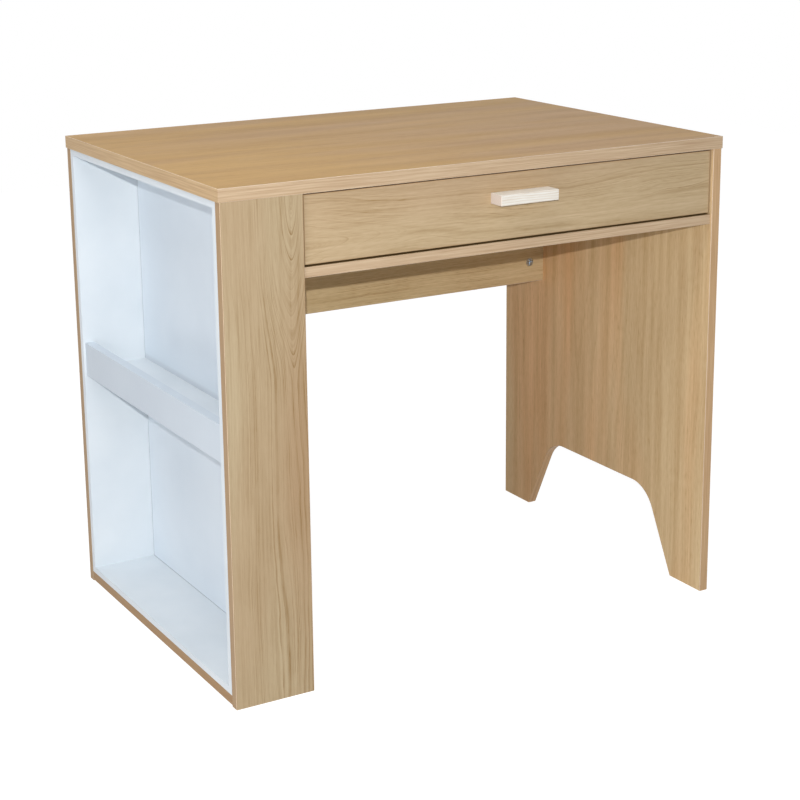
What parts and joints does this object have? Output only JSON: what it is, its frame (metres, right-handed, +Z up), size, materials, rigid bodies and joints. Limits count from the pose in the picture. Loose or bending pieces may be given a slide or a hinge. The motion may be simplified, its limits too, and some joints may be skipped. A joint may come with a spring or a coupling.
{
  "type": "kneehole desk",
  "caption": "Compact woodgrain kneehole desk with a shallow full-width drawer on roller runners, an arched side panel and a white-lined end bookcase that opens sideways.",
  "frame": {"origin": "on the floor, under the middle of the desk's bounding box with the handle", "axes": "+X along the width, from the bookcase to the arched side panel; +Y from the drawer front to the back; +Z up"},
  "size_m": [0.855, 0.603, 0.75],
  "materials": {
    "oak_laminate": "satin woodgrain laminate on chipboard",
    "oak_edge_band": "satin woodgrain edge band",
    "white_melamine": "white melamine on chipboard",
    "white_hardboard": "white lacquered hardboard",
    "handle_wood": "pale lacquered wood",
    "zinc": "die-cast zinc",
    "plated_steel": "zinc-plated steel",
    "runner_enamel": "white enamel on folded steel",
    "nylon": "white nylon",
    "beech": "bare beech dowel"
  },
  "bodies": {
    "carcass": {"desk_top": "oak_laminate", "desk_top_edge_bands": "oak_edge_band", "bookcase_front_panel": "oak_laminate", "bookcase_front_panel_edge_bands": "oak_edge_band", "bookcase_rear_panel": "oak_laminate", "bookcase_rear_panel_edge_bands": "oak_edge_band", "bookcase_bottom_panel": "oak_laminate", "bookcase_bottom_edge_band": "oak_edge_band", "bookcase_divider": "oak_laminate", "drawer_shelf": "oak_laminate", "drawer_shelf_edge_band": "oak_edge_band", "modesty_panel": "oak_laminate", "modesty_panel_edge_band": "oak_edge_band", "right_side_panel": "oak_laminate", "side_panel_edge_bands": "oak_edge_band", "arch_edge_band": "oak_edge_band", "lining_front": "white_melamine", "lining_rear": "white_melamine", "lining_top": "white_melamine", "lining_bottom": "white_melamine", "back_lining": "white_hardboard", "bookcase_shelf": "white_melamine", "bookcase_shelf_lip": "white_melamine", "cam_locks": "zinc", "cam_bolts": "plated_steel", "wood_dowels": "beech", "shelf_dowels": "beech", "cabinet_runner_left": "runner_enamel", "cabinet_runner_right": "runner_enamel", "cabinet_runner_screws": "plated_steel", "cabinet_roller_axles": "plated_steel"},
    "drawer": {"drawer_front": "oak_laminate", "drawer_front_edge_bands": "oak_edge_band", "drawer_handle": "handle_wood", "drawer_side_left": "white_melamine", "drawer_side_right": "white_melamine", "drawer_back": "white_melamine", "drawer_bottom": "white_hardboard", "drawer_cam_locks": "zinc", "drawer_cam_bolts": "plated_steel", "drawer_dowels": "beech", "handle_screws": "plated_steel", "drawer_box_screws": "plated_steel", "drawer_runner_left": "runner_enamel", "drawer_runner_right": "runner_enamel", "drawer_runner_screws": "plated_steel", "drawer_roller_axles": "plated_steel"},
    "cabinet_roller_left": {"cabinet_roller_left": "nylon"},
    "cabinet_roller_right": {"cabinet_roller_right": "nylon"},
    "drawer_roller_left": {"drawer_roller_left": "nylon"},
    "drawer_roller_right": {"drawer_roller_right": "nylon"}
  },
  "joints": [
    {"name": "drawer_slide", "type": "slide", "parent": "carcass", "child": "drawer", "axis": [0, -1, 0], "range_m": [0, 0.3]},
    {"name": "cabinet_roller_left_spin", "type": "hinge", "parent": "carcass", "child": "cabinet_roller_left", "pos_m": [-0.296, -0.2445, 0.6507], "axis": [1, 0, 0], "range_deg": [0, 2232.4]},
    {"name": "cabinet_roller_right_spin", "type": "hinge", "parent": "carcass", "child": "cabinet_roller_right", "pos_m": [0.405, -0.2445, 0.6507], "axis": [1, 0, 0], "range_deg": [0, 2232.4]},
    {"name": "drawer_roller_left_spin", "type": "hinge", "parent": "drawer", "child": "drawer_roller_left", "pos_m": [-0.2945, 0.1295, 0.649], "axis": [1, 0, 0], "range_deg": [0, 2232.4]},
    {"name": "drawer_roller_right_spin", "type": "hinge", "parent": "drawer", "child": "drawer_roller_right", "pos_m": [0.4035, 0.1295, 0.649], "axis": [1, 0, 0], "range_deg": [0, 2232.4]}
  ],
  "couplings": [
    {"joint": "cabinet_roller_left_spin", "follows": "drawer_slide", "rad_per_m": 129.87},
    {"joint": "cabinet_roller_right_spin", "follows": "drawer_slide", "rad_per_m": 129.87},
    {"joint": "drawer_roller_left_spin", "follows": "drawer_slide", "rad_per_m": 129.87},
    {"joint": "drawer_roller_right_spin", "follows": "drawer_slide", "rad_per_m": 129.87}
  ]
}
